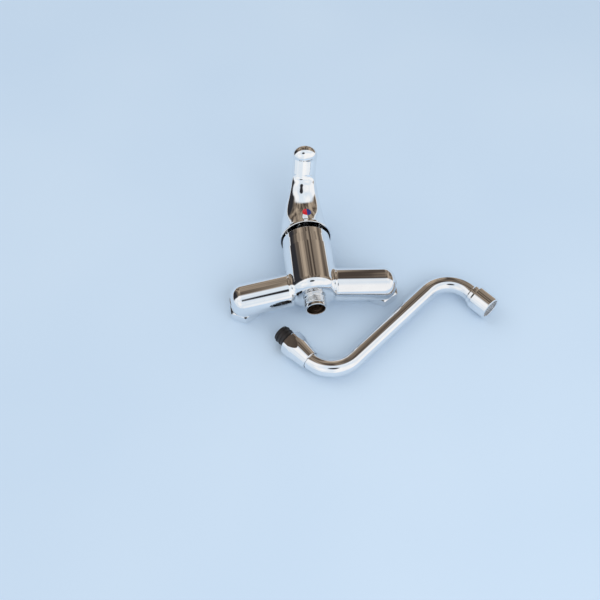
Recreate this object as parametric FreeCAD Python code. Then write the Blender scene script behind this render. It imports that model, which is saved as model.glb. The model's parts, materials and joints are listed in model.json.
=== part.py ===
"""Wall-mounted single-lever sink mixer with its S-shaped swivel spout taken off and laid beside it.

Frame, in millimetres: the origin lies midway between the two inlet nuts, on the plane of their
wall-side faces. +X runs from the left inlet to the right one, +Y is up on the wall, and +Z points
out of the wall, which is also up when the mixer lies on its wall side.
"""
import FreeCAD
import Part
import math
import os

Vector = FreeCAD.Vector
Rotation = FreeCAD.Rotation
Placement = FreeCAD.Placement
X_AXIS, Y_AXIS, Z_AXIS = Vector(1, 0, 0), Vector(0, 1, 0), Vector(0, 0, 1)

# ---------------------------------------------------------------- driving dimensions
# body and arms
inlet_spacing = 150.0          # between the two wall inlets
column_axis_z = 29.0           # cartridge column's axis above the wall-side plane
barrel_radius = 26.9
barrel_neck_radius = 26.2      # the barrel's top end, which the hood's rim swings over
barrel_bottom_y = -13.0
barrel_bottom_round = 11.0
barrel_bottom_dish = 2.0       # fall of the barrel's underside from its rim to the nipple
barrel_foot_radius = 14.0      # flat ring round the spout nipple
arm_radius = 17.5
arm_neck_radius = 13.0         # groove between the barrel's front and an arm's inner end
arm_neck_start_x = 15.0
arm_inner_x = 21.5             # where an arm's rounded inner end starts
arm_overhang = 13.5            # arm beyond its inlet's axis
arm_end_round = 13.0
arm_inner_round = 3.5
arm_blend_radius = 5.0         # hollow corner where an arm's top meets the barrel
arm_end_y = -1.9               # an arm's axis at its inlet
arm_end_z = 24.0
arm_root_y = 2.1               # an arm's axis where it meets the column's axis
arm_root_z = 32.0
arm_bore_radius = 7.0
arm_bore_inner_x = 13.0

# inlets: union nuts on screwed-in sleeves
union_nut_height = 13.0
union_nut_flats = 30.0
union_nut_turn_deg = 30.0      # from a corner toward +X; it lies with a corner toward the outlet
union_nut_thread_radius = 12.1
union_nut_lip = 3.0
union_nut_relief = 0.3         # undercut beyond the free thread
nut_pad_gap = 0.5
sleeve_radius = 10.0
sleeve_bore_radius = 6.5
sleeve_flange_radius = 11.8
sleeve_flange_thickness = 1.9
sleeve_screw_depth = 9.0
filter_washer_thickness = 2.0
filter_bore_radius = 7.0
filter_mesh_thickness = 0.4

# cartridge and what holds it
pivot_height = 64.5            # lever's pivot, up the column
cartridge_radius = 20.0
housing_wall = 1.6
seat_below_pivot = 31.0
barrel_top_below_pivot = 1.0
base_thickness = 5.0
disc_thickness = 3.5
fixed_disc_radius = 16.0
moving_disc_radius = 12.5
carrier_thickness = 5.5
carrier_radius = 13.5
turret_foot_radius = 17.4
turret_foot_thickness = 3.0
turret_radius = 12.4
turret_above_pivot = 8.0
housing_neck_radius = 15.0
housing_shoulder_below_pivot = 9.0
port_radius = 4.0
port_offset_x = 9.0
port_offset_z = 4.5
outlet_port_offset_z = -9.5
seal_section_radius = 0.9
stem_width = 8.0
stem_ball_radius = 2.8
stem_ball_below_pivot = 15.4
stem_above_pivot = 24.0
pin_radius = 2.0
ring_nut_radius = 22.5
ring_nut_height = 4.4
ring_nut_key_count = 6
ring_nut_key_width = 5.0
dome_foot_radius = 24.4
dome_top_radius = 16.2
dome_height = 3.0
dome_wall = 1.2

# hood and lever, in the hood's own frame: +Y along the column, +Z to the front
hood_rim_radius = 28.6
hood_rim_wall = 1.3
hood_inner_top = 27.0
hood_waist_radius = 25.3       # hollow a quarter of the way up
hood_waist_height = 7.0
hood_crown_radius = 18.5       # hollow at its flat top
hood_boss_radius = 8.0
hood_boss_bottom = 12.0
rest_turn_deg = 10.5           # lever turned toward +X as it lies
rest_lift_deg = 8.3            # hood's front edge above the level position
lever_lean_deg = 69.0          # lever's straight part, from the column's direction to the front
lever_neck_width = 13.3        # half widths and half depths
lever_neck_depth = 8.0
lever_tip_width = 13.8
lever_tip_depth = 9.0
lever_tip_reach = 11.0         # knob's half length
lever_tip_y = 64.7
lever_tip_z = 66.3
plug_radius = 4.9
plug_thickness = 1.6
plug_y = 16.0
plug_z = 26.9
plug_lean_deg = -4.0           # its face turned from the front toward the hood's top
screw_radius = 2.5
screw_length = 8.0

# spout nipple under the barrel
nipple_end_y = -27.0
nipple_radius = 12.0
nipple_bore_radius = 9.7
nipple_band_radius = 11.3
nipple_band_length = 3.0
nipple_relief_radius = 11.0    # plain undercut where the thread runs out
nipple_relief_length = 2.2
nipple_spigot_radius = 11.0
nipple_spigot_length = 9.0

# swivel spout, in its own frame: the tube's inlet axis is +X, its bends lie in the XY plane
spout_axis_height = 14.0       # above the surface it lies on
spout_mouth_x = -39.6          # where the open end of its bush lies
spout_mouth_y = -41.0
spout_lie_deg = -54.2          # direction of its inlet axis
tube_radius = 9.0
tube_wall = 1.0
tube_end_radius = 7.4          # necked end inside the bush
tube_bend_radius = 31.0
bend_turn_deg = 92.4
inlet_leg = 77.2               # bush's open end to the first bend's corner
run_length = 179.5             # corner to corner
outlet_leg = 62.0              # second corner to the outlet face
bush_length = 22.0
bush_radius = 9.4
bush_rib_radius = 9.65
bush_rib_count = 3
spout_nut_start = 14.6         # bush left showing in front of the nut
spout_nut_length = 31.0
spout_nut_radius = 14.0
spout_nut_shoulder = 7.0       # mouth to where its cone starts
spout_nut_flats = 25.6
spout_nut_turn_deg = 17.0      # one facet's lean from straight up
spout_nut_tail_radius = 10.8
spout_nut_thread_depth = 17.0
aerator_length = 21.5
aerator_radius = 12.9
aerator_thread_radius = 11.4
aerator_mouth_radius = 10.2
aerator_lip = 2.0
aerator_insert_length = 8.9
aerator_washer_bore_radius = 6.5
outlet_thread_length = 8.0     # collar's thread inside the aerator housing
collar_length = 5.0
collar_radius = 10.8

# clearances
running_clearance = 0.05       # pins, spigots and rotating fits
loose_clearance = 0.3          # curved faces of separate moving bodies
flat_gap = 0.1                 # faces that slide over each other

# ---------------------------------------------------------------- worked-out positions
seat_y = pivot_height - seat_below_pivot
fixed_disc_y = seat_y + base_thickness
moving_disc_y = fixed_disc_y + disc_thickness
carrier_y = moving_disc_y + disc_thickness
turret_y = carrier_y + carrier_thickness + flat_gap
turret_top_y = pivot_height + turret_above_pivot
shoulder_y = pivot_height - housing_shoulder_below_pivot
barrel_top_y = pivot_height - barrel_top_below_pivot
column_origin = Vector(0, 0, column_axis_z)
pivot_point = Vector(0, pivot_height, column_axis_z)
arm_pad_z = union_nut_height + nut_pad_gap
flange_top_z = union_nut_height - union_nut_lip - flat_gap
flange_bottom_z = flange_top_z - sleeve_flange_thickness
washer_bottom_z = flange_bottom_z - filter_washer_thickness


# ---------------------------------------------------------------- shape helpers
def rounded_wire(corners):
    """Closed outline in the XY plane through corners (x, y, corner radius)."""
    count = len(corners)
    points = [Vector(c[0], c[1], 0) for c in corners]
    radii = [c[2] if len(c) > 2 else 0.0 for c in corners]
    starts, ends, middles = [], [], []
    for i in range(count):
        here, before, after = points[i], points[i - 1], points[(i + 1) % count]
        if radii[i] == 0:
            starts.append(here)
            ends.append(here)
            middles.append(None)
            continue
        to_before = (before - here).normalize()
        to_after = (after - here).normalize()
        half = to_before.getAngle(to_after) / 2
        reach = radii[i] / math.tan(half)
        bisector = (to_before + to_after).normalize()
        starts.append(here + to_before * reach)
        ends.append(here + to_after * reach)
        middles.append(here + bisector * (radii[i] / math.sin(half) - radii[i]))
    edges = []
    for i in range(count):
        if middles[i] is not None:
            edges.append(Part.Arc(starts[i], middles[i], ends[i]).toShape())
        following = starts[(i + 1) % count]
        if (following - ends[i]).Length > 1e-6:
            edges.append(Part.LineSegment(ends[i], following).toShape())
    return Part.Wire(edges)


def turned(corners):
    """Solid of revolution about +Y from corners (radius, height, corner radius)."""
    return Part.Face(rounded_wire(corners)).revolve(Vector(0, 0, 0), Y_AXIS, 360)


def rod(radius, start, end):
    """Plain cylinder between two points."""
    axis = end - start
    return Part.makeCylinder(radius, axis.Length, start, axis)


def ring(outer, inner, start, end):
    return rod(outer, start, end).cut(rod(inner, start, end))


def along(shape, direction, base):
    """Shape modelled about +Y from the origin, turned to a direction and moved to a base."""
    placed = shape.copy()
    placed.Placement = Placement(base, Rotation(Y_AXIS, direction))
    return placed


def on_column(shape):
    """Shape modelled about +Y, moved to the cartridge column's axis."""
    moved = shape.copy()
    moved.translate(column_origin)
    return moved


def column_point(y, x=0.0, z=0.0):
    return Vector(x, y, column_axis_z + z)


def hexagon(flats, height):
    """Hexagonal prism about +Y from the origin."""
    corner = flats / math.sqrt(3)
    points = [Vector(corner * math.cos(math.radians(60 * i)), 0, corner * math.sin(math.radians(60 * i)))
              for i in range(7)]
    return Part.Face(Part.makePolygon(points)).extrude(Vector(0, height, 0))


def mirrored(shape):
    return shape.mirror(Vector(0, 0, 0), X_AXIS)


# ---------------------------------------------------------------- body casting
def arm_frame():
    """Start and direction of the right arm's axis."""
    start = Vector(0, arm_root_y, arm_root_z)
    end = Vector(inlet_spacing / 2, arm_end_y, arm_end_z)
    return start, (end - start).normalize()


def arm_solid():
    start, direction = arm_frame()
    end = inlet_spacing / 2 + arm_overhang
    shape = turned([
        (0, arm_neck_start_x, 0),
        (arm_neck_radius, arm_neck_start_x, 0),
        (arm_neck_radius, arm_inner_x, 0.8),
        (arm_radius, arm_inner_x + 1.0, arm_inner_round),
        (arm_radius, end, arm_end_round),
        (0, end, 0),
    ])
    shape = along(shape, direction, start)
    nut_reach = union_nut_flats / math.sqrt(3) + 1.0
    below = Part.makeBox(80, 80, arm_pad_z, Vector(inlet_spacing / 2 - nut_reach, -40, 0))
    pad = rod(sleeve_radius + 4.5, Vector(inlet_spacing / 2, 0, arm_pad_z),
              Vector(inlet_spacing / 2, 0, arm_end_z))
    return shape.fuse(pad).cut(below)


def arm_waterway():
    """Bore along an arm, with the threaded hole for the inlet sleeve."""
    start, direction = arm_frame()
    bore = rod(arm_bore_radius, start + direction * arm_bore_inner_x,
               start + direction * (inlet_spacing / 2))
    foot = Vector(inlet_spacing / 2, 0, arm_pad_z - 1)
    screw = rod(sleeve_radius, foot, foot + Z_AXIS * (sleeve_screw_depth + 1))
    drop = rod(sleeve_bore_radius, foot, Vector(inlet_spacing / 2, 0, arm_end_z))
    riser = rod(port_radius, Vector(arm_bore_inner_x + port_radius, arm_root_y, arm_root_z - 1.0),
                column_point(seat_y - 7.0, port_offset_x + 3.0, port_offset_z))
    port = rod(port_radius, column_point(seat_y - 9.0, port_offset_x, port_offset_z),
               column_point(seat_y + 1.0, port_offset_x, port_offset_z))
    return bore.fuse([screw, drop, riser, port])


def has_radius(face, radius):
    return isinstance(face.Surface, Part.Cylinder) and abs(face.Surface.Radius - radius) < 1e-6


def blended_arms(body):
    """Body with the hollow corners cast in where the arms' tops run into the barrel."""
    barrel_faces = [face for face in body.Faces if has_radius(face, barrel_radius)]
    arm_faces = [face for face in body.Faces if has_radius(face, arm_radius)]
    shared = [edge for face in arm_faces for edge in face.Edges
              if any(edge.isSame(other) for barrel in barrel_faces for other in barrel.Edges)]
    return body.makeFillet(arm_blend_radius, shared)


def make_body():
    barrel = on_column(turned([
        (0, barrel_bottom_y, 0),
        (barrel_foot_radius, barrel_bottom_y, 0),
        (barrel_radius, barrel_bottom_y + barrel_bottom_dish, barrel_bottom_round),
        (barrel_radius, pivot_height - 20.0, 12.0),
        (barrel_neck_radius, pivot_height - 8.0, 12.0),
        (barrel_neck_radius, barrel_top_y, 1.0),
        (0, barrel_top_y, 0),
    ]))
    right = arm_solid()
    body = blended_arms(barrel.fuse([right, mirrored(right)]))
    pocket = rod(cartridge_radius + running_clearance, column_point(seat_y), column_point(barrel_top_y + 1))
    thread = rod(ring_nut_radius, column_point(shoulder_y - 1.0), column_point(barrel_top_y + 1))
    spigot = rod(nipple_spigot_radius, column_point(barrel_bottom_y - 1),
                 column_point(barrel_bottom_y + nipple_spigot_length))
    outlet = rod(port_radius + 1.2, column_point(barrel_bottom_y + 5, 0, outlet_port_offset_z + 4.0),
                 column_point(seat_y + 1, 0, outlet_port_offset_z))
    waterway = arm_waterway()
    return body.cut([pocket, thread, spigot, outlet, waterway, mirrored(waterway)])


def make_nipple():
    """Threaded nipple that the swivel spout pushes into; the spout's nut screws on it."""
    top = barrel_bottom_y + nipple_spigot_length - flat_gap
    thread_top = barrel_bottom_y - nipple_relief_length
    corners = [
        (nipple_bore_radius, nipple_end_y, 0.4),
        (nipple_band_radius, nipple_end_y, 0.5),
        (nipple_band_radius, nipple_end_y + nipple_band_length, 0),
        (nipple_radius, nipple_end_y + nipple_band_length + 0.7, 0),
        (nipple_radius, thread_top - 0.6, 0),
        (nipple_relief_radius, thread_top, 0),
        (nipple_spigot_radius - running_clearance, top, 0.4),
        (nipple_bore_radius, top, 0),
    ]
    return on_column(turned(corners))


# ---------------------------------------------------------------- inlets
def make_inlet_sleeve(x):
    """Sleeve screwed into an arm; its flange carries the union nut."""
    top = arm_pad_z + sleeve_screw_depth - flat_gap
    corners = [
        (sleeve_bore_radius, flange_bottom_z, 0),
        (sleeve_flange_radius, flange_bottom_z, 0),
        (sleeve_flange_radius, flange_top_z, 0.3),
        (sleeve_radius - running_clearance, flange_top_z, 0),
        (sleeve_radius - running_clearance, top, 0.5),
        (sleeve_bore_radius, top, 0),
    ]
    key = Part.makeBox(2 * sleeve_bore_radius + 2.4, 3.0, 6.0,
                       Vector(x - sleeve_bore_radius - 1.2, -1.5, flange_bottom_z - 1))
    return along(turned(corners), Z_AXIS, Vector(x, 0, 0)).cut(key)


def make_union_nut(x):
    hole = sleeve_radius + loose_clearance
    relief = union_nut_thread_radius + union_nut_relief
    blank = hexagon(union_nut_flats, union_nut_height)
    blank.rotate(Vector(0, 0, 0), Y_AXIS, union_nut_turn_deg)
    chamfer = turned([
        (0, 0, 0),
        (union_nut_flats / 2 - 0.6, 0, 0),
        (union_nut_flats / 2 + 2.6, 2.6, 0),
        (union_nut_flats / 2 + 2.6, union_nut_height - 2.2, 0),
        (union_nut_flats / 2 - 0.4, union_nut_height, 0),
        (0, union_nut_height, 0),
    ])
    bore = turned([
        (0, -1, 0),
        (union_nut_thread_radius + 1.0, -1, 0),
        (union_nut_thread_radius + 1.0, 0, 0),
        (union_nut_thread_radius, 1.0, 0),
        (union_nut_thread_radius, washer_bottom_z, 0),
        (relief, washer_bottom_z, 0),
        (relief, union_nut_height - union_nut_lip, 0),
        (hole, union_nut_height - union_nut_lip, 0),
        (hole, union_nut_height + 1, 0),
        (0, union_nut_height + 1, 0),
    ])
    return along(blank.common(chamfer).cut(bore), Z_AXIS, Vector(x, 0, 0))


def make_filter_washer(x):
    """Rubber sealing washer with its domed strainer."""
    outer = sleeve_flange_radius
    washer = ring(outer, filter_bore_radius, Vector(x, 0, washer_bottom_z), Vector(x, 0, flange_bottom_z))
    mesh = rod(filter_bore_radius, Vector(x, 0, flange_bottom_z - filter_mesh_thickness),
               Vector(x, 0, flange_bottom_z))
    return washer.fuse(mesh)


# ---------------------------------------------------------------- cartridge
def port_holes(bottom, top, radius):
    holes = [rod(radius, column_point(bottom, side * port_offset_x, port_offset_z),
                 column_point(top, side * port_offset_x, port_offset_z)) for side in (-1, 1)]
    holes.append(rod(radius, column_point(bottom, 0, outlet_port_offset_z),
                     column_point(top, 0, outlet_port_offset_z)))
    return holes


def seal_places():
    return [(-port_offset_x, port_offset_z), (port_offset_x, port_offset_z), (0, outlet_port_offset_z)]


def make_cartridge_base():
    base = rod(cartridge_radius, column_point(seat_y), column_point(fixed_disc_y))
    seal_mid = port_radius + 1.0
    depth = 2 * seal_section_radius
    grooves = []
    for x, z in seal_places():
        grooves.append(ring(seal_mid + seal_section_radius + running_clearance,
                            seal_mid - seal_section_radius - running_clearance,
                            column_point(seat_y - 1, x, z), column_point(seat_y + depth, x, z)))
    return base.cut(port_holes(seat_y - 1, fixed_disc_y + 1, port_radius - 0.6)).cut(grooves)


def make_base_seals():
    middle = port_radius + 1.0
    seals = [ring(middle + seal_section_radius, middle - seal_section_radius,
                  column_point(seat_y, x, z), column_point(seat_y + 2 * seal_section_radius, x, z))
             for x, z in seal_places()]
    return Part.makeCompound(seals)


def make_fixed_disc():
    disc = rod(fixed_disc_radius, column_point(fixed_disc_y), column_point(moving_disc_y))
    return disc.cut(port_holes(fixed_disc_y - 1, moving_disc_y + 1, port_radius - 0.6))


def make_cartridge_housing():
    """Plastic shell round the discs, with the neck that the turret turns in."""
    inner = cartridge_radius - housing_wall
    neck_bore = turret_radius + running_clearance
    foot_top = turret_y + turret_foot_thickness + flat_gap
    corners = [
        (inner, fixed_disc_y, 0),
        (cartridge_radius, fixed_disc_y, 0),
        (cartridge_radius, shoulder_y, 0.8),
        (housing_neck_radius, shoulder_y, 0),
        (housing_neck_radius, turret_top_y - 1.0, 0.6),
        (neck_bore, turret_top_y - 1.0, 0),
        (neck_bore, foot_top, 0),
        (inner, foot_top, 0),
    ]
    return on_column(turned(corners))


def turned_to_rest(shape):
    """From the hood's straight position to the turn in which it lies."""
    placed = shape.copy()
    placed.rotate(column_origin, Y_AXIS, rest_turn_deg)
    return placed


def lifted_to_rest(shape):
    """From the hood's level position, with its rim square to the column, to rest."""
    placed = shape.copy()
    placed.rotate(pivot_point, X_AXIS, -rest_lift_deg)
    return turned_to_rest(placed)


def disc_shift():
    """How far forward the stem's ball holds the disc at rest."""
    return stem_ball_below_pivot * math.sin(math.radians(rest_lift_deg))


def make_moving_disc():
    shift = disc_shift()
    disc = rod(moving_disc_radius, column_point(moving_disc_y, 0, shift), column_point(carrier_y, 0, shift))
    chamber = rod(8.6, column_point(moving_disc_y - 1, 0, shift - 0.5),
                  column_point(moving_disc_y + 2.0, 0, shift - 0.5))
    return turned_to_rest(disc.cut(chamber))


def make_disc_carrier():
    """Plastic carrier keyed to the moving disc, with the socket for the stem's ball."""
    shift = disc_shift()
    carrier = rod(carrier_radius, column_point(carrier_y, 0, shift),
                  column_point(carrier_y + carrier_thickness, 0, shift))
    socket = rod(stem_ball_radius + loose_clearance, column_point(carrier_y + 0.4, 0, shift),
                 column_point(carrier_y + carrier_thickness + 1, 0, shift))
    return turned_to_rest(carrier.cut(socket))


def make_swivel_turret():
    """Turning guide of the cartridge: carries the pivot pin and turns with the lever."""
    foot = rod(turret_foot_radius, column_point(turret_y), column_point(turret_y + turret_foot_thickness))
    post = rod(turret_radius, column_point(turret_y), column_point(turret_top_y))
    swing = math.tan(math.radians(14.0))
    half_top = stem_width / 2 + turret_above_pivot * swing + loose_clearance + 0.6
    below = pivot_height - turret_y
    half_bottom = stem_width / 2 + below * swing + loose_clearance + 0.6
    width = stem_width / 2 + loose_clearance
    slot_side = [Vector(-width, turret_y - 1, column_axis_z - half_bottom),
                 Vector(-width, turret_y - 1, column_axis_z + half_bottom),
                 Vector(-width, pivot_height, column_axis_z + stem_width / 2 + 1.2),
                 Vector(-width, turret_top_y + 1, column_axis_z + half_top),
                 Vector(-width, turret_top_y + 1, column_axis_z - half_top),
                 Vector(-width, pivot_height, column_axis_z - stem_width / 2 - 1.2)]
    slot = Part.Face(Part.makePolygon(slot_side + slot_side[:1])).extrude(Vector(2 * width, 0, 0))
    pin_hole = rod(pin_radius, column_point(pivot_height, -turret_radius - 1),
                   column_point(pivot_height, turret_radius + 1))
    return turned_to_rest(foot.fuse(post).cut([slot, pin_hole]))


def make_pivot_pin():
    half = turret_radius - 0.5
    return turned_to_rest(rod(pin_radius, column_point(pivot_height, -half), column_point(pivot_height, half)))


def make_stem():
    """Lever stem: square shank above, ball below, cross hole for the pivot pin."""
    ball_y = pivot_height - stem_ball_below_pivot
    top = pivot_height + stem_above_pivot
    half = stem_width / 2
    shank = Part.makeBox(stem_width, top - pivot_height + 5.0, stem_width,
                         Vector(-half, pivot_height - 5.0, column_axis_z - half))
    shank = shank.common(rod(half * 1.32, column_point(ball_y), column_point(top)))
    neck = rod(stem_ball_radius - 0.8, column_point(ball_y), column_point(pivot_height - 4))
    ball = Part.makeSphere(stem_ball_radius, column_point(ball_y))
    hole = rod(pin_radius + running_clearance, column_point(pivot_height, -stem_width),
               column_point(pivot_height, stem_width))
    return lifted_to_rest(shank.fuse([neck, ball]).cut(hole))


def make_ring_nut():
    """Brass nut that clamps the cartridge, with key slots in its top."""
    bottom, top = shoulder_y, shoulder_y + ring_nut_height
    bore = housing_neck_radius + running_clearance
    nut = ring(ring_nut_radius - running_clearance, bore, column_point(bottom), column_point(top))
    slots = []
    for i in range(ring_nut_key_count):
        slot = Part.makeBox(ring_nut_radius + 1 - bore, 2.5, ring_nut_key_width,
                            Vector(bore + 2.0, top - 2.0, column_axis_z - ring_nut_key_width / 2))
        slot.rotate(column_origin, Y_AXIS, 360.0 * i / ring_nut_key_count)
        slots.append(slot)
    return nut.cut(slots)


def make_dome_ring():
    """Polished cover ring over the cartridge nut, seated on the barrel's top edge."""
    bottom = barrel_top_y
    outer = [
        (dome_top_radius, bottom + dome_height, 0.5),
        (dome_foot_radius - 1.5, bottom + dome_height - 0.4, 1.8),
        (dome_foot_radius, bottom, 0),
    ]
    wall = dome_wall
    inner = [
        (dome_foot_radius - 1.5 * wall, bottom, 0),
        (dome_foot_radius - 1.5 - wall, bottom + dome_height - 0.4 - wall, 0.6),
        (dome_top_radius, bottom + dome_height - wall, 0),
    ]
    return on_column(turned(outer + inner))


# ---------------------------------------------------------------- hood and lever
def lever_section(front, back, half_width):
    """Ellipse across the lever, from a point on its front to one on its back, both (Y, Z)."""
    centre = Vector(0, (front[0] + back[0]) / 2, (front[1] + back[1]) / 2)
    depth = Vector(0, front[0] - back[0], front[1] - back[1])
    half_depth = depth.Length / 2
    width_axis, depth_axis = X_AXIS, depth.normalize()
    if half_width >= half_depth:
        ends = centre + width_axis * half_width, centre + depth_axis * half_depth
    else:
        ends = centre + depth_axis * half_depth, centre + width_axis * half_width
    return Part.Wire([Part.Ellipse(ends[0], ends[1], centre).toShape()])


def blade_centre(reach):
    """Point on the lever's straight centre line, a distance out from its tip."""
    lean = math.radians(lever_lean_deg)
    return lever_tip_y - reach * math.cos(lean), lever_tip_z - reach * math.sin(lean)


def blade_section(reach, half_width, half_depth):
    lean = math.radians(lever_lean_deg)
    y, z = blade_centre(reach)
    step_y, step_z = half_depth * math.sin(lean), half_depth * math.cos(lean)
    return lever_section((y - step_y, z + step_z), (y + step_y, z - step_z), half_width)


def hood_and_blade():
    """Hood that flows into the lever: one loft from the rim to the lever's neck and tip."""
    crown = [
        ((5.0, 27.9), (5.0, -27.9), 27.9),
        ((12.0, 27.0), (13.0, -26.6), 26.6),
        ((19.0, 27.0), (24.0, -22.5), 24.9),
        ((26.0, 28.8), (34.0, -13.0), 22.6),
        ((33.0, 32.7), (42.5, -1.0), 20.1),
        ((39.5, 38.2), (50.0, 10.5), 17.3),
        ((44.6, 43.6), (56.8, 25.0), 15.1),
    ]
    wires = [lever_section(*section) for section in crown]
    wires.append(blade_section(24.0, lever_neck_width, lever_neck_depth))
    wires.append(blade_section(20.0, lever_neck_width, lever_neck_depth))
    blade = Part.makeLoft([blade_section(reach, lever_neck_width, lever_neck_depth) for reach in (20.0, 1.0)],
                          True, True)
    rim = turned([
        (0, 0, 0),
        (hood_rim_radius, 0, 0.7),
        (hood_rim_radius - 0.3, 3.0, 2.0),
        (27.9, 5.0, 0),
        (0, 5.0, 0),
    ])
    return Part.makeLoft(wires, True, False).fuse([rim, blade])


def lever_tip():
    """Rounded knob that ends the lever."""
    ball = Part.makeSphere(1.0)
    stretch = FreeCAD.Matrix()
    stretch.scale(lever_tip_width, lever_tip_depth, lever_tip_reach)
    tip = ball.transformGeometry(stretch)
    tip.rotate(Vector(0, 0, 0), X_AXIS, -90 + lever_lean_deg)
    tip.translate(Vector(0, lever_tip_y, lever_tip_z))
    return tip


def plug_place():
    """Point on the hood's front where the indicator plug sits, and its outward direction."""
    lean = math.radians(plug_lean_deg)
    return Vector(0, plug_y, plug_z), Vector(0, math.sin(lean), math.cos(lean))


def from_hood_frame(shape):
    placed = shape.copy()
    placed.translate(pivot_point)
    return lifted_to_rest(placed)


def make_lever_hood():
    solid = hood_and_blade().fuse(lever_tip())
    cavity = turned([
        (0, -1, 0),
        (hood_rim_radius - hood_rim_wall, -1, 0),
        (hood_rim_radius - hood_rim_wall, 2.5, 0),
        (hood_waist_radius, hood_waist_height, 6.0),
        (hood_waist_radius - 1.3, 2 * hood_waist_height, 10.0),
        (hood_crown_radius, hood_inner_top, 6.0),
        (0, hood_inner_top, 0),
    ])
    boss = rod(hood_boss_radius, Vector(0, hood_boss_bottom, 0), Vector(0, hood_inner_top + 4, 0))
    screw_boss = rod(screw_radius + 2.5, screw_foot(), Vector(0, plug_y, plug_z))
    solid = solid.cut(cavity.cut([boss, screw_boss]))
    half = stem_width / 2 + running_clearance
    socket = Part.makeBox(2 * half, stem_above_pivot + flat_gap - hood_boss_bottom + 4, 2 * half,
                          Vector(-half, hood_boss_bottom - 4, -half))
    place, outward = plug_place()
    recess = rod(plug_radius + running_clearance, place - outward * plug_thickness, place + outward * 8)
    screw_way = rod(screw_radius + running_clearance, screw_foot() - Z_AXIS, Vector(0, plug_y, plug_z))
    return from_hood_frame(solid.cut([socket, recess, screw_way]))


def screw_foot():
    """Where the set screw bears on the stem's front face."""
    return Vector(0, plug_y, stem_width / 2 + flat_gap)


def make_set_screw():
    screw = rod(screw_radius, screw_foot(), screw_foot() + Z_AXIS * screw_length)
    socket = along(hexagon(2.5, 3.0), Z_AXIS, screw_foot() + Z_AXIS * (screw_length - 2.5))
    return from_hood_frame(screw.cut(socket))


def make_indicator_plug():
    place, outward = plug_place()
    plug = along(turned([
        (0, 0, 0),
        (plug_radius, 0, 0),
        (plug_radius, plug_thickness + 0.4, 0.5),
        (0, plug_thickness + 0.9, 0),
    ]), outward, place - outward * plug_thickness)
    return from_hood_frame(plug)


# ---------------------------------------------------------------- swivel spout
def spout_path():
    """Centre line of the tube: straight legs joined by two tangent arcs."""
    turn = math.radians(bend_turn_deg)
    reach = tube_bend_radius * math.tan(turn / 2)
    first = Vector(1, 0, 0)
    across = Vector(math.cos(turn), math.sin(turn), 0)
    corner_a = first * inlet_leg
    corner_b = corner_a + across * run_length
    end = corner_b + first * outlet_leg
    return first, across, corner_a, corner_b, end, reach


def bend_middle(corner, incoming, outgoing):
    inward = (outgoing - incoming).normalize()
    half = math.radians(bend_turn_deg) / 2
    return corner + inward * (tube_bend_radius / math.cos(half) - tube_bend_radius)


def swept_tube(radius, start, tube_end):
    first, across, corner_a, corner_b, end, reach = spout_path()
    points = [start, corner_a - first * reach, corner_a + across * reach,
              corner_b - across * reach, corner_b + first * reach, tube_end]
    edges = [
        Part.LineSegment(points[0], points[1]).toShape(),
        Part.Arc(points[1], bend_middle(corner_a, first, across), points[2]).toShape(),
        Part.LineSegment(points[2], points[3]).toShape(),
        Part.Arc(points[3], bend_middle(corner_b, across, first), points[4]).toShape(),
        Part.LineSegment(points[4], points[5]).toShape(),
    ]
    section = Part.Wire([Part.Circle(start, first, radius).toShape()])
    return Part.Wire(edges).makePipeShell([section], True, False)


def spout_point(along_axis):
    return Vector(along_axis, 0, 0)


def spout_ring(outer, inner, start, end):
    return ring(outer, inner, spout_point(start), spout_point(end))


def lay_spout(shape):
    """From the spout's own frame to where it lies beside the mixer."""
    placed = shape.copy()
    placed.rotate(Vector(0, 0, 0), Z_AXIS, spout_lie_deg)
    placed.translate(Vector(spout_mouth_x, spout_mouth_y, spout_axis_height))
    return placed


def make_spout_tube():
    first, across, corner_a, corner_b, end, reach = spout_path()
    neck_end = bush_length + 1.5
    tube_end = end - first * (aerator_length - 3.0)
    outer = swept_tube(tube_radius, spout_point(neck_end), tube_end)
    inner = swept_tube(tube_radius - tube_wall, spout_point(neck_end), tube_end)
    neck = spout_ring(tube_end_radius, tube_end_radius - tube_wall, 1.0, neck_end)
    shoulder = along(turned([
        (tube_end_radius - tube_wall, neck_end, 0),
        (tube_end_radius, neck_end, 0),
        (tube_radius, neck_end + 0.001, 0),
        (tube_radius, neck_end + 2.0, 0),
        (tube_radius - tube_wall - 0.2, neck_end + 2.0, 0),
    ]), X_AXIS, Vector(0, 0, 0))
    return lay_spout(outer.cut(inner).fuse([neck, shoulder]))


def make_spout_bush():
    """Black plastic sealing bush on the tube's end, with raised lips."""
    bore = tube_end_radius + running_clearance
    corners = [(bore, 0.0, 0.5), (bush_radius - 0.6, 0.0, 0)]
    lip = 1.3
    pitch = 4.2
    first_lip = 2.2
    for i in range(bush_rib_count):
        start = first_lip + pitch * i
        corners += [(bush_radius - 0.6, start, 0), (bush_rib_radius, start + 0.35, 0),
                    (bush_rib_radius, start + lip, 0), (bush_radius - 0.6, start + lip + 0.35, 0)]
    corners += [(bush_radius - 0.6, spout_nut_start + 1.2, 0), (bush_radius + 1.6, spout_nut_start + 1.2, 0),
                (bush_radius + 1.6, spout_nut_start + 3.4, 0), (bush_radius, spout_nut_start + 3.4, 0),
                (bush_radius, bush_length, 0.3), (bore, bush_length, 0)]
    return lay_spout(along(turned(corners), X_AXIS, Vector(0, 0, 0)))


def make_stop_ring():
    """Split retaining ring between the bush and the tube's shoulder."""
    start = bush_length + flat_gap
    stop = spout_ring(tube_radius + 1.6, tube_end_radius + running_clearance, start, start + 1.3)
    gap = Part.makeBox(3.0, 5.0, 2.0, Vector(start - 1, tube_end_radius - 1, -1.0))
    return lay_spout(stop.cut(gap))


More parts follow.
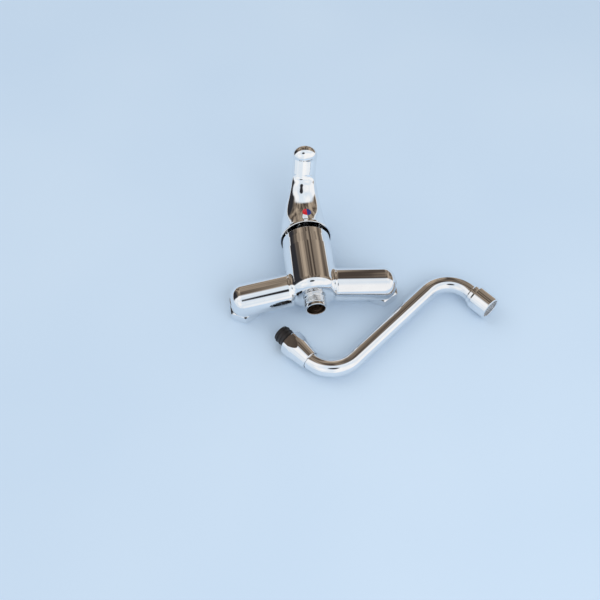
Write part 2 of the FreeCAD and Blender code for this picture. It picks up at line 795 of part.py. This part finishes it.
def make_spout_nut():
    hole = tube_radius + loose_clearance
    thread = nipple_radius + running_clearance
    start = spout_nut_start
    end = start + spout_nut_length
    outer = turned([
        (0, start, 0),
        (spout_nut_radius - 0.9, start, 0),
        (spout_nut_radius, start + 0.9, 0.4),
        (spout_nut_radius, start + spout_nut_shoulder, 3.0),
        (spout_nut_tail_radius, end - 1.5, 4.0),
        (spout_nut_tail_radius - 0.2, end, 0.8),
        (0, end, 0),
    ])
    flats = hexagon(spout_nut_flats, spout_nut_length + 2.0)
    flats.translate(Vector(0, start - 1.0, 0))
    flats.rotate(Vector(0, 0, 0), Y_AXIS, spout_nut_turn_deg)
    outer = outer.common(flats)
    seat = start + spout_nut_thread_depth
    bore = turned([
        (0, start - 1, 0),
        (thread + 0.8, start - 1, 0),
        (thread + 0.8, start + 0.2, 0),
        (thread, start + 1.0, 0),
        (thread, seat - 4.0, 0),
        (tube_radius + 1.6 + loose_clearance, seat - 2.0, 0),
        (tube_radius + 1.6 + loose_clearance, seat, 0),
        (hole, seat, 0),
        (hole, end + 1, 0),
        (0, end + 1, 0),
    ])
    return lay_spout(along(outer.cut(bore), X_AXIS, Vector(0, 0, 0)))


def outlet_frame():
    first, across, corner_a, corner_b, end, reach = spout_path()
    return end, first


def on_outlet(shape):
    """Shape modelled about +Y with the outlet face at 0 and the tube toward -Y, put on the spout."""
    end, direction = outlet_frame()
    return lay_spout(along(shape, direction, end))


def make_spout_collar():
    """Brazed collar on the tube's outlet end, threaded outside for the aerator housing."""
    back = -aerator_length - collar_length
    thread = aerator_thread_radius - 0.9
    return on_outlet(turned([
        (tube_radius, back, 0),
        (collar_radius - 0.8, back, 0),
        (collar_radius, back + 1.2, 0.5),
        (collar_radius, -aerator_length - flat_gap, 0),
        (thread, -aerator_length - flat_gap, 0),
        (thread, -aerator_length + outlet_thread_length, 0.4),
        (tube_radius, -aerator_length + outlet_thread_length, 0),
    ]))


def make_aerator_housing():
    thread = aerator_thread_radius - 0.9 + running_clearance
    washer_back = -aerator_length + outlet_thread_length + 1.0
    return on_outlet(turned([
        (thread, -aerator_length, 0),
        (aerator_radius - 0.8, -aerator_length, 0),
        (aerator_radius, -aerator_length + 1.6, 1.2),
        (aerator_radius, 0, 0.8),
        (aerator_mouth_radius, 0, 0.5),
        (aerator_mouth_radius, -aerator_lip, 0),
        (aerator_thread_radius, -aerator_lip, 0),
        (aerator_thread_radius, washer_back, 0),
        (thread, washer_back, 0),
    ]))


def make_aerator_insert():
    """Plastic honeycomb flow straightener held by the housing's lip."""
    outer = aerator_thread_radius - running_clearance
    front = -aerator_lip - flat_gap
    back = front - aerator_insert_length
    body = turned([
        (0, back, 0),
        (outer, back, 0.6),
        (outer, front, 0),
        (0, front, 0),
    ])
    cell, pitch = 1.05, 2.9
    holes = []
    for row in range(-3, 4):
        for column in range(-3, 4):
            x = (column + 0.5 * (row % 2)) * pitch
            z = row * pitch * math.sqrt(3) / 2
            if math.hypot(x, z) < outer - 2.2:
                holes.append(Part.makeCylinder(cell, 5.0, Vector(x, -5.0, z), Y_AXIS))
    return on_outlet(body.cut(holes))


def make_aerator_washer():
    back = -aerator_length + outlet_thread_length + 1.0 + flat_gap
    front = -aerator_lip - flat_gap - aerator_insert_length
    washer = turned([
        (aerator_washer_bore_radius, back, 0),
        (aerator_thread_radius - running_clearance, back, 0),
        (aerator_thread_radius - running_clearance, front, 0),
        (aerator_washer_bore_radius, front, 0),
    ])
    return on_outlet(washer)


# ---------------------------------------------------------------- files
def save(name, shape):
    if not shape.isValid():
        print("NOT VALID", name)
    shape.exportStep("parts/" + name + ".step")


def main():
    os.makedirs("parts", exist_ok=True)
    half = inlet_spacing / 2
    nodes = {
        "mixer_body": make_body(),
        "spout_nipple": make_nipple(),
        "left_inlet_sleeve": make_inlet_sleeve(-half),
        "right_inlet_sleeve": make_inlet_sleeve(half),
        "left_union_nut": make_union_nut(-half),
        "right_union_nut": make_union_nut(half),
        "left_filter_washer": make_filter_washer(-half),
        "right_filter_washer": make_filter_washer(half),
        "cartridge_base": make_cartridge_base(),
        "base_seals": make_base_seals(),
        "cartridge_housing": make_cartridge_housing(),
        "fixed_disc": make_fixed_disc(),
        "moving_disc": make_moving_disc(),
        "disc_carrier": make_disc_carrier(),
        "swivel_turret": make_swivel_turret(),
        "pivot_pin": make_pivot_pin(),
        "lever_stem": make_stem(),
        "ring_nut": make_ring_nut(),
        "dome_ring": make_dome_ring(),
        "lever_hood": make_lever_hood(),
        "set_screw": make_set_screw(),
        "indicator_plug": make_indicator_plug(),
        "spout_tube": make_spout_tube(),
        "spout_bush": make_spout_bush(),
        "spout_stop_ring": make_stop_ring(),
        "spout_nut": make_spout_nut(),
        "spout_collar": make_spout_collar(),
        "aerator_housing": make_aerator_housing(),
        "aerator_insert": make_aerator_insert(),
        "aerator_washer": make_aerator_washer(),
    }
    for name, shape in nodes.items():
        save(name, shape)


main()
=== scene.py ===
"""Looks, studio and camera for the wall-mounted mixer with its spout laid beside it."""
import json
import math

import bpy
from mathutils import Matrix, Vector


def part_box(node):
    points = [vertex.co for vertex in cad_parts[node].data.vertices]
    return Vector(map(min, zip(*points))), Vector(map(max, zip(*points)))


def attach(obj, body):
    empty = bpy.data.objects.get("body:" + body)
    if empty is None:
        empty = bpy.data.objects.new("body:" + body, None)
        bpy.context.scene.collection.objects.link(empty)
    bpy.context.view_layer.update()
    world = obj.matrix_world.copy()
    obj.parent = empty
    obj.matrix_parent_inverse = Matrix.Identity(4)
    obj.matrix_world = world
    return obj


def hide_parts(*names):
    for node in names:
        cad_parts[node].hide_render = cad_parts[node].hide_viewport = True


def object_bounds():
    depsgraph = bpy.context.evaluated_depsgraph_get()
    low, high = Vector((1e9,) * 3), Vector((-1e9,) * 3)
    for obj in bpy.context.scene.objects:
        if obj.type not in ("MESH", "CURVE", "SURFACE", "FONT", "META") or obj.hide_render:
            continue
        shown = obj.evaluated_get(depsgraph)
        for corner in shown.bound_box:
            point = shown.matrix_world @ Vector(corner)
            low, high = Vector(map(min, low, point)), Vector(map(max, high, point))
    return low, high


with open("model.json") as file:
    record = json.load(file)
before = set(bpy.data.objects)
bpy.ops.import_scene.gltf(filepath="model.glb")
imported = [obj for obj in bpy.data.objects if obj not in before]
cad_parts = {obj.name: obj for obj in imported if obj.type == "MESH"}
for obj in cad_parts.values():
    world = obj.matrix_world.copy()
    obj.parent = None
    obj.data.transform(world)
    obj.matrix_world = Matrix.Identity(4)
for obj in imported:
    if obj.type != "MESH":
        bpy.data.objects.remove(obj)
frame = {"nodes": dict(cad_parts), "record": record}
cad_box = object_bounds()
record = frame["record"]
mounts = {m["name"]: m for m in record["mounts"]}
joints = {j["name"]: j for j in record["behaviour"]["joints"]}

MM = 0.001
UP = Vector((0, 0, 1))

# Camera, in degrees, metres and, for the lens, millimetres
CAMERA_AZIMUTH, CAMERA_ELEVATION, CAMERA_ROLL = -3.02, 57.08, -4.40
CAMERA_TARGET = Vector((-14.49, 5.82, 0)) * MM
CAMERA_DISTANCE = 876.03 * MM
CAMERA_LENS, CAMERA_SENSOR = 48.0, 36.0
CAMERA_NEAR, CAMERA_FAR = 0.02, 20.0

# Spout nipple, in millimetres
NIPPLE_PITCH = 1.5             # M24 x 1.5
NIPPLE_THREAD_DEPTH = 0.8
NIPPLE_SPIGOT_DROP = 1.05      # smooth length above the thread, below the crest
NIPPLE_SPIGOT_BEVEL = 0.4
NIPPLE_RUN_OUT = (0.7, 0.1)    # distances before the thread over which its root is reached
NIPPLE_BAND_DROP = 0.7         # smooth band at the mouth, below the crest
NIPPLE_BAND_START = 0.35       # beyond the thread
BORE_GROOVE = (5.0, 5.3, 5.9, 6.2)     # its edges and floor, from the mouth
BORE_GROOVE_DEPTH = 0.12
BORE_SKIN = 0.2                # faces this near the bore's radius show the worn bore

# Threads in the nuts, in millimetres
UNION_PITCH = 1.81             # G3/4
NUT_THREAD_DEPTH = 0.6
NUT_THREAD_ROOT = 0.02         # the root stays this far inside the plain bore
NUT_THREAD_BACK = 0.01
SPOUT_NUT_THREAD = (1.1, 12.5)  # from the nut's mouth
SPOUT_NUT_PLAY = 0.05          # over the nipple's thread

# Thread form
THREAD_STEPS = 7               # rows per pitch
THREAD_FADE = 0.8              # run-out at both ends, in pitches
THREAD_SLOPE, THREAD_ROOT_FLAT = 1.5, 0.25

# Materials
SPOT_START, SPOT_END = 0.35, 0.65      # noise values between which a tint changes
# The hood's hollow: painted shade as a near-black colour, and the rough finish of a raw casting
PAINTED_SHADE_COLOUR, CAST_ROUGHNESS = (0.07, 0.07, 0.075, 1), 0.6
SHADE_AND_CAST_HEIGHT = (0.018, 0.016)   # over the pivot, between which the painted shade and the cast roughness set in
SHADE_AND_CAST_FACING = (-0.25, -0.5)    # how far the surface turns to the column for it
PLUG_EDGE = 0.00006            # half width of the line between red and blue
PLUG_SHADE = 0.85              # darkest patches of the plug's colours

# Studio
FLOOR_HALF_SIZE = 6.0
FLOOR_DARK, FLOOR_LIGHT = (0.60, 0.74, 0.90), (0.63, 0.765, 0.915)
EVEN_COLOUR, EVEN_LIGHT = (0.97, 0.985, 1.0, 1), 0.72
WHITE = (1.0, 1.0, 1.0, 1)
NEARLY_BLACK = (0.03, 0.03, 0.035, 1)
SKY_DARK, SKY_LIGHT = (0.78, 0.86, 0.94), (1.0, 1.0, 1.0)
CEILING_DARK, CEILING_LIGHT = (0.075, 0.058, 0.047), (0.46, 0.37, 0.28)
SHADE_DIRECTION = (-0.03, -0.54, 0.84)
# Each pair gives the value at which a part of the room starts and the one where it is full.
ABOVE_HORIZON = (0.02, 0.09)
CEILING_BEHIND = (-0.02, 0.14)
DARK_LEFT, DARK_BEHIND = (-0.50, -0.72), (-0.10, 0.10)
LAMP_SHADE = (0.978, 0.992)


# ------------------------------------------------------------------ camera
def place_camera():
    """Looks down at the mixer from its outlet side, a little rolled."""
    azimuth, elevation = math.radians(CAMERA_AZIMUTH), math.radians(CAMERA_ELEVATION)
    roll = math.radians(CAMERA_ROLL)
    back = Vector((math.sin(azimuth) * math.cos(elevation),
                   -math.cos(azimuth) * math.cos(elevation), math.sin(elevation)))
    level = UP.cross(back).normalized()
    right = level * math.cos(roll) + back.cross(level) * math.sin(roll)
    data = bpy.data.cameras.new("camera")
    data.lens, data.sensor_width = CAMERA_LENS, CAMERA_SENSOR
    data.clip_start, data.clip_end = CAMERA_NEAR, CAMERA_FAR
    camera = bpy.data.objects.new("camera", data)
    bpy.context.collection.objects.link(camera)
    turn = Matrix((right, back.cross(right), back)).transposed().to_4x4()
    camera.matrix_world = Matrix.Translation(CAMERA_TARGET + back * CAMERA_DISTANCE) @ turn
    bpy.context.scene.camera = camera


# ------------------------------------------------------------------ shader nodes
class Nodes:
    """A node tree, with short calls to add and join its nodes."""

    def __init__(self, tree):
        self.tree = tree

    def add(self, kind, **values):
        node = self.tree.nodes.new("ShaderNode" + kind)
        for name, value in values.items():
            if name in node.inputs.keys():
                node.inputs[name].default_value = value
            else:
                setattr(node, name, value)
        return node

    def wire(self, output, target):
        self.tree.links.new(output, target)

    def join(self, source, output, target, socket):
        self.wire(source.outputs[output], target.inputs[socket])

    def ranged(self, output, start, end, low=0.0, high=1.0, **settings):
        """The output's value, moved from start..end to low..high."""
        node = self.add("MapRange", **settings)
        limits = {"From Min": start, "From Max": end, "To Min": low, "To Max": high}
        for name, value in limits.items():
            node.inputs[name].default_value = value
        self.wire(output, node.inputs["Value"])
        return node.outputs["Result"]

    def smooth(self, output, edges):
        """0 at the first edge, 1 at the second, with a soft change between them."""
        return self.ranged(output, *edges, interpolation_type="SMOOTHSTEP")

    def calculate(self, operation, first, second):
        """The first is a socket, the second a socket or a number."""
        node = self.add("Math", operation=operation)
        self.wire(first, node.inputs[0])
        if isinstance(second, float):
            node.inputs[1].default_value = second
        else:
            self.wire(second, node.inputs[1])
        return node.outputs[0]

    def vector(self, operation, first, second=None):
        """The node itself: its result is under Vector or Value."""
        node = self.add("VectorMath", operation=operation)
        self.wire(first, node.inputs[0])
        if second is not None:
            node.inputs[1].default_value = second
        return node

    def ramp(self, output, dark, light, start=SPOT_START, end=SPOT_END):
        node = self.add("ValToRGB")
        first, last = node.color_ramp.elements
        first.position, first.color = start, (*dark, 1)
        last.position, last.color = end, (*light, 1)
        self.wire(output, node.inputs["Fac"])
        return node.outputs["Color"]

    def overlaid(self, under, over, share):
        """One colour or socket laid over another where the share is 1."""
        mix = self.add("Mix", data_type="RGBA")
        self.wire(share, mix.inputs[0])
        for socket, colour in ((mix.inputs[6], under), (mix.inputs[7], over)):
            if isinstance(colour, tuple):
                socket.default_value = colour
            else:
                self.wire(colour, socket)
        return mix.outputs[2]

    def noise(self, scale, detail=3.0, stretch=None, space="Object"):
        """Noise that stays fixed to the piece; the scale is in features per metre."""
        place = self.add("TexCoord").outputs[space]
        texture = self.add("TexNoise", Scale=scale, Detail=detail)
        if stretch:
            mapping = self.add("Mapping", Scale=stretch)
            self.wire(place, mapping.inputs["Vector"])
            place = mapping.outputs["Vector"]
        self.wire(place, texture.inputs["Vector"])
        return texture.outputs["Fac"]


# ------------------------------------------------------------------ materials
def new_material(name, **values):
    material = bpy.data.materials.new(name)
    material.use_nodes = True
    shader = material.node_tree.nodes["Principled BSDF"]
    for socket, value in values.items():
        shader.inputs[socket.replace("_", " ")].default_value = value
    return material, Nodes(material.node_tree), shader


def vary(nodes, texture, shader, low, high, start=SPOT_START, end=SPOT_END):
    nodes.wire(nodes.ranged(texture, start, end, low, high), shader.inputs["Roughness"])


def tint(nodes, texture, shader, dark, light):
    nodes.wire(nodes.ramp(texture, dark, light), shader.inputs["Base Color"])


def bump(nodes, texture, shader, strength, distance):
    raised = nodes.add("Bump", Strength=strength, Distance=distance)
    nodes.wire(texture, raised.inputs["Height"])
    nodes.join(raised, "Normal", shader, "Normal")


def plated(name, light, dark, smooth, worn, ripple):
    """Chrome plate: faint smears where it is wiped, a slight ripple from polishing."""
    material, nodes, shader = new_material(name, Metallic=1.0)
    tint(nodes, nodes.noise(34.0, 5.0), shader, dark, light)
    vary(nodes, nodes.noise(85.0, 6.0), shader, smooth, worn, 0.42, 0.72)
    bump(nodes, nodes.noise(55.0, 1.0), shader, ripple, 0.0006)
    return material


def turned_metal(name, light, dark, low, high):
    """Bare turned metal: fine tool marks and patches of tarnish."""
    material, nodes, shader = new_material(name, Metallic=1.0)
    tint(nodes, nodes.noise(120.0, 4.0), shader, dark, light)
    marks = nodes.noise(900.0, 2.0, stretch=(0.1, 1.0, 0.1))
    vary(nodes, marks, shader, low, high)
    bump(nodes, marks, shader, 0.15, 0.00008)
    return material


def moulded(name, light, dark, low, high, grain=1500.0, depth=0.00006):
    """Moulded plastic or rubber: fine grain and soft variation of tone and gloss."""
    material, nodes, shader = new_material(name)
    tint(nodes, nodes.noise(160.0, 4.0), shader, dark, light)
    vary(nodes, nodes.noise(300.0, 4.0), shader, low, high)
    bump(nodes, nodes.noise(grain, 2.0), shader, 0.25, depth)
    return material


def halves(name, red, blue):
    """Glossy plug: red on the hot side, blue on the cold side, parted through its centre."""
    low, high = (Vector(corner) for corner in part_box("indicator_plug"))
    across = -Vector(joints["lever_lift"]["axis"]).normalized()
    material, nodes, shader = new_material(name, Coat_Weight=0.6, Coat_Roughness=0.04)
    place = nodes.add("TexCoord").outputs["Object"]
    from_centre = nodes.vector("SUBTRACT", place, (low + high) / 2).outputs["Vector"]
    along = nodes.vector("DOT_PRODUCT", from_centre, across).outputs["Value"]
    side = nodes.ranged(along, -PLUG_EDGE, PLUG_EDGE)
    pigment = nodes.noise(600.0, 3.0)
    shades = [nodes.ramp(pigment, [c * PLUG_SHADE for c in colour], colour)
              for colour in (red, blue)]
    nodes.wire(nodes.overlaid(*shades, side), shader.inputs["Base Color"])
    vary(nodes, pigment, shader, 0.18, 0.28)
    return material


def shade_and_roughen_inside(material):
    """Paints shade into the hood's hollow where its surface faces the column: a near-black colour
    as painted shade, and the rough finish of a raw casting.
    """
    nodes = Nodes(material.node_tree)
    shader = material.node_tree.nodes["Principled BSDF"]
    place = nodes.add("TexCoord")
    pivot = joints["lever_lift"]["pos_m"]
    from_pivot = nodes.vector("SUBTRACT", place.outputs["Object"], pivot).outputs["Vector"]
    across = nodes.vector("MULTIPLY", from_pivot, (1, 0, 1)).outputs["Vector"]
    facing = nodes.vector("DOT_PRODUCT", nodes.vector("NORMALIZE", across).outputs["Vector"])
    nodes.join(place, "Normal", facing, 1)
    parts = nodes.add("SeparateXYZ")
    nodes.wire(from_pivot, parts.inputs["Vector"])
    inside = nodes.calculate("MULTIPLY", nodes.smooth(facing.outputs["Value"], SHADE_AND_CAST_FACING),
                             nodes.smooth(parts.outputs["Y"], SHADE_AND_CAST_HEIGHT))
    colour, roughness = shader.inputs["Base Color"], shader.inputs["Roughness"]
    # Painted shade: a near-black colour laid over the chrome in the hollow
    nodes.wire(nodes.overlaid(colour.links[0].from_socket, PAINTED_SHADE_COLOUR, inside), colour)
    cast = nodes.calculate("MULTIPLY", inside, CAST_ROUGHNESS)
    nodes.wire(nodes.calculate("MAXIMUM", roughness.links[0].from_socket, cast), roughness)


def make_materials():
    """Light colour, dark colour and finish of each material, under its name."""
    kinds = {
        "chrome_body": (plated, (0.90, 0.905, 0.915), (0.84, 0.845, 0.86), 0.02, 0.07, 0.05),
        "chrome_lever": (plated, (0.91, 0.915, 0.92), (0.86, 0.865, 0.88), 0.015, 0.06, 0.03),
        "chrome_spout": (plated, (0.91, 0.915, 0.925), (0.85, 0.86, 0.875), 0.02, 0.08, 0.05),
        "plated_thread": (plated, (0.84, 0.85, 0.86), (0.76, 0.77, 0.78), 0.06, 0.14, 0.03),
        "raw_brass": (turned_metal, (0.80, 0.62, 0.33), (0.62, 0.45, 0.22), 0.22, 0.42),
        "worn_bore": (turned_metal, (0.46, 0.36, 0.28), (0.26, 0.20, 0.16), 0.25, 0.40),
        "steel": (turned_metal, (0.66, 0.66, 0.67), (0.52, 0.52, 0.53), 0.25, 0.40),
        "white_plastic": (moulded, (0.86, 0.86, 0.82), (0.78, 0.77, 0.72), 0.35, 0.55),
        "grey_plastic": (moulded, (0.46, 0.47, 0.49), (0.36, 0.37, 0.39), 0.35, 0.55),
        "black_plastic": (moulded, (0.030, 0.026, 0.026), (0.012, 0.011, 0.012), 0.38, 0.55,
                          900.0, 0.00002),
        "ceramic": (moulded, (0.93, 0.92, 0.88), (0.87, 0.86, 0.82), 0.10, 0.20,
                    2500.0, 0.00001),
        "rubber": (moulded, (0.045, 0.045, 0.045), (0.022, 0.022, 0.022), 0.55, 0.80),
        "indicator": (halves, (0.70, 0.015, 0.03), (0.015, 0.035, 0.22)),
    }
    made = {name: kind(name, *looks) for name, (kind, *looks) in kinds.items()}
    # Painted shade in the hood's hollow, with a rough cast finish
    shade_and_roughen_inside(made["chrome_lever"])
    return made


def dress_frame(materials):
    """Gives each carried-over CAD node its procedural material."""
    for entry in record["subparts"]:
        for slot in frame["nodes"][entry["node"]].material_slots:
            slot.material = materials[entry["material_slot"]]


# ------------------------------------------------------------------ pieces
def new_piece(name, points, faces, material, body, sharp=30.0):
    mesh = bpy.data.meshes.new(name)
    mesh.from_pydata([tuple(p) for p in points], [], faces)
    mesh.validate()
    mesh.shade_smooth()
    mesh.set_sharp_from_angle(angle=math.radians(sharp))
    mesh.materials.append(material)
    piece = bpy.data.objects.new(name, mesh)
    bpy.context.collection.objects.link(piece)
    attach(piece, body)
    return piece


def lathe(base, axis, rows, segments=96):
    """A closed ring of rows turned about the axis, as points and faces.

    Each row is a distance along the axis and a radius, or a function that gives the radius
    at an angle, all in millimetres.
    """
    helper = UP if abs(axis.z) < 0.9 else Vector((1, 0, 0))
    side = axis.cross(helper).normalized()
    other = axis.cross(side)
    points, faces = [], []
    for r, (distance, radius) in enumerate(rows):
        after = (r + 1) % len(rows) * segments
        for i in range(segments):
            angle = 2 * math.pi * i / segments
            size = radius(angle) if callable(radius) else radius
            outward = side * math.cos(angle) + other * math.sin(angle)
            points.append(base + axis * (distance * MM) + outward * (size * MM))
            j = (i + 1) % segments
            faces.append((r * segments + i, r * segments + j, after + j, after + i))
    return points, faces


def thread_rows(start, end, root, crest, pitch):
    """Rows of a helical thread between two distances; its depth fades at both ends."""
    fade_length = pitch * THREAD_FADE
    count = max(2, int(round((end - start) / pitch * THREAD_STEPS)))
    rows = []
    for k in range(count + 1):
        distance = start + (end - start) * k / count
        fade = max(0.0, min(1.0, (distance - start) / fade_length, (end - distance) / fade_length))

        def radius(angle, distance=distance, fade=fade):
            phase = (distance / pitch - angle / (2 * math.pi)) % 1.0
            flank = (1 - abs(2 * phase - 1)) * THREAD_SLOPE - THREAD_ROOT_FLAT
            height = min(1.0, max(0.0, flank))
            return crest + (root - crest) * fade * (1 - height)

        rows.append((distance, radius))
    return rows


def reach(node, base, axis):
    """Nearest and farthest distance of a CAD node along an axis, in millimetres."""
    steps = [(v.co - base).dot(axis) / MM for v in frame["nodes"][node].data.vertices]
    return min(steps), max(steps)


def make_nipple(materials):
    """Spout nipple with its cut thread, run-out groove, bevelled mouth and stepped bore."""
    thread = mounts["nipple_thread"]
    middle, axis = Vector(thread["pos_m"]), Vector(thread["axis"])
    half = thread["dims"]["length_mm"] / 2
    top, end = reach("spout_nipple", middle, axis)
    crest, hole = thread["dims"]["r_mm"], mounts["nipple_bore"]["dims"]["r_mm"]
    root = crest - NIPPLE_THREAD_DEPTH
    band, spigot = crest - NIPPLE_BAND_DROP, crest - NIPPLE_SPIGOT_DROP
    neck = [(top, hole), (top, spigot - NIPPLE_SPIGOT_BEVEL), (top + NIPPLE_SPIGOT_BEVEL, spigot)]
    neck += [(-half - before, radius) for before, radius in zip(NIPPLE_RUN_OUT, (spigot, root))]
    cut = thread_rows(-half, half - 0.05, root, crest, NIPPLE_PITCH)
    lip = [(half + NIPPLE_BAND_START, band), (end - 0.55, band), (end - 0.2, band - 0.12),
           (end, band - 0.45), (end, hole + 0.5), (end - 0.12, hole + 0.25), (end - 0.5, hole)]
    depths = (0, BORE_GROOVE_DEPTH, BORE_GROOVE_DEPTH, 0)
    groove = [(end - inward, hole + depth) for inward, depth in zip(BORE_GROOVE, depths)]
    points, faces = lathe(middle, axis, neck + cut + lip + groove)
    piece = new_piece("nipple_threaded", points, faces, materials["plated_thread"], "fixture")
    piece.data.materials.append(materials["worn_bore"])
    for face in piece.data.polygons:
        from_axis = face.center - middle
        from_axis -= axis * from_axis.dot(axis)
        if from_axis.length < (hole + BORE_SKIN) * MM:
            face.material_index = 1
    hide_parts("spout_nipple")


def make_inner_thread(name, base, axis, start, end, radius, pitch, materials, body, slot):
    """Thread ridges just inside a nut's plain bore."""
    rows = thread_rows(start, end, radius - NUT_THREAD_ROOT, radius - NUT_THREAD_DEPTH, pitch)
    rows += [(end, radius - NUT_THREAD_BACK), (start, radius - NUT_THREAD_BACK)]
    points, faces = lathe(base, axis, rows, segments=72)
    new_piece(name, points, faces, materials[slot], body, sharp=40.0)


def make_nut_threads(materials):
    for side in ("left", "right"):
        mount = mounts[side + "_inlet"]
        half = mount["dims"]["length_mm"] / 2
        make_inner_thread(side + "_nut_thread", Vector(mount["pos_m"]), UP, -half, half,
                          mount["dims"]["r_mm"], UNION_PITCH, materials, side + "_nut",
                          "chrome_body")
    spin = joints["spout_nut_spin"]
    base, axis = Vector(spin["pos_m"]), Vector(spin["axis"]).normalized()
    mouth = reach("spout_nut", base, axis)[0]
    start, end = (mouth + distance for distance in SPOUT_NUT_THREAD)
    radius = mounts["nipple_thread"]["dims"]["r_mm"] + SPOUT_NUT_PLAY
    make_inner_thread("spout_nut_thread", base, axis, start, end, radius, NIPPLE_PITCH, materials,
                      "spout_nut", "chrome_spout")


# ------------------------------------------------------------------ studio
def make_floor():
    low, size = cad_box[0][2], FLOOR_HALF_SIZE
    mesh = bpy.data.meshes.new("floor")
    corners = [(-size, -size, low), (size, -size, low), (size, size, low), (-size, size, low)]
    mesh.from_pydata(corners, [], [(0, 1, 2, 3)])
    floor = bpy.data.objects.new("floor", mesh)
    bpy.context.collection.objects.link(floor)
    material, nodes, shader = new_material("floor_pale", Roughness=0.9, Specular_IOR_Level=0.0)
    tint(nodes, nodes.noise(3.0, 2.0), shader, FLOOR_DARK, FLOOR_LIGHT)
    mesh.materials.append(material)


def room_colour(nodes):
    """What metal mirrors: a white sky, a dim warm ceiling behind, a dark left, a lamp shade."""
    place = nodes.add("TexCoord").outputs["Generated"]
    parts = nodes.add("SeparateXYZ")
    nodes.wire(place, parts.inputs["Vector"])
    x, y, z = (parts.outputs[name] for name in "XYZ")
    raised = nodes.smooth(z, ABOVE_HORIZON)
    behind = nodes.calculate("MULTIPLY", nodes.smooth(y, CEILING_BEHIND), raised)
    left = nodes.calculate("MULTIPLY", nodes.smooth(x, DARK_LEFT), raised)
    left = nodes.calculate("MULTIPLY", left, nodes.smooth(y, DARK_BEHIND))
    facing = nodes.vector("DOT_PRODUCT", place, SHADE_DIRECTION).outputs["Value"]
    shade = nodes.smooth(facing, LAMP_SHADE)
    clouds = nodes.noise(1.6, 3.0, space="Generated")
    sky = nodes.ramp(clouds, SKY_DARK, SKY_LIGHT, 0.40, 0.56)
    streaks = nodes.noise(2.2, 2.0, stretch=(2.5, 0.6, 0.8), space="Generated")
    ceiling = nodes.ramp(streaks, CEILING_DARK, CEILING_LIGHT, 0.38, 0.62)
    colour = nodes.overlaid(sky, ceiling, behind)
    colour = nodes.overlaid(colour, NEARLY_BLACK, left)
    return nodes.overlaid(colour, NEARLY_BLACK, shade)


def make_world():
    """Even light on matt surfaces, the room in metal, and plain white to the camera."""
    world = bpy.data.worlds.new("studio")
    bpy.context.scene.world = world
    world.use_nodes = True
    nodes = Nodes(world.node_tree)
    even = world.node_tree.nodes["Background"]
    even.inputs["Color"].default_value = EVEN_COLOUR
    even.inputs["Strength"].default_value = EVEN_LIGHT
    room = nodes.add("Background", Strength=1.0)
    nodes.wire(room_colour(nodes), room.inputs["Color"])
    backdrop = nodes.add("Background", Color=WHITE, Strength=1.0)
    path = nodes.add("LightPath").outputs
    mirrored = nodes.calculate("MAXIMUM", path["Is Glossy Ray"], path["Is Transmission Ray"])
    surface = even.outputs[0]
    for share, shader in ((mirrored, room), (path["Is Camera Ray"], backdrop)):
        choice = nodes.add("MixShader")
        for socket, output in enumerate((share, surface, shader.outputs[0])):
            nodes.wire(output, choice.inputs[socket])
        surface = choice.outputs[0]
    nodes.wire(surface, world.node_tree.nodes["World Output"].inputs["Surface"])


def area_light(name, position, width, height, power):
    """A soft light aimed at the origin, which metal doesn't mirror."""
    data = bpy.data.lights.new(name, "AREA")
    data.shape, data.size, data.size_y, data.energy = "RECTANGLE", width, height, power
    light = bpy.data.objects.new(name, data)
    bpy.context.collection.objects.link(light)
    light.location = position
    light.rotation_euler = (-Vector(position)).to_track_quat("-Z", "Y").to_euler()
    light.visible_glossy = False


def main():
    place_camera()
    materials = make_materials()
    dress_frame(materials)
    make_nipple(materials)
    make_nut_threads(materials)
    make_floor()
    make_world()
    area_light("key", (0.55, -1.15, 1.25), width=1.3, height=1.0, power=9.0)
    area_light("fill", (-0.9, 0.6, 1.4), width=1.2, height=1.2, power=3.0)
    bpy.context.scene.view_settings.view_transform = "Standard"


main()
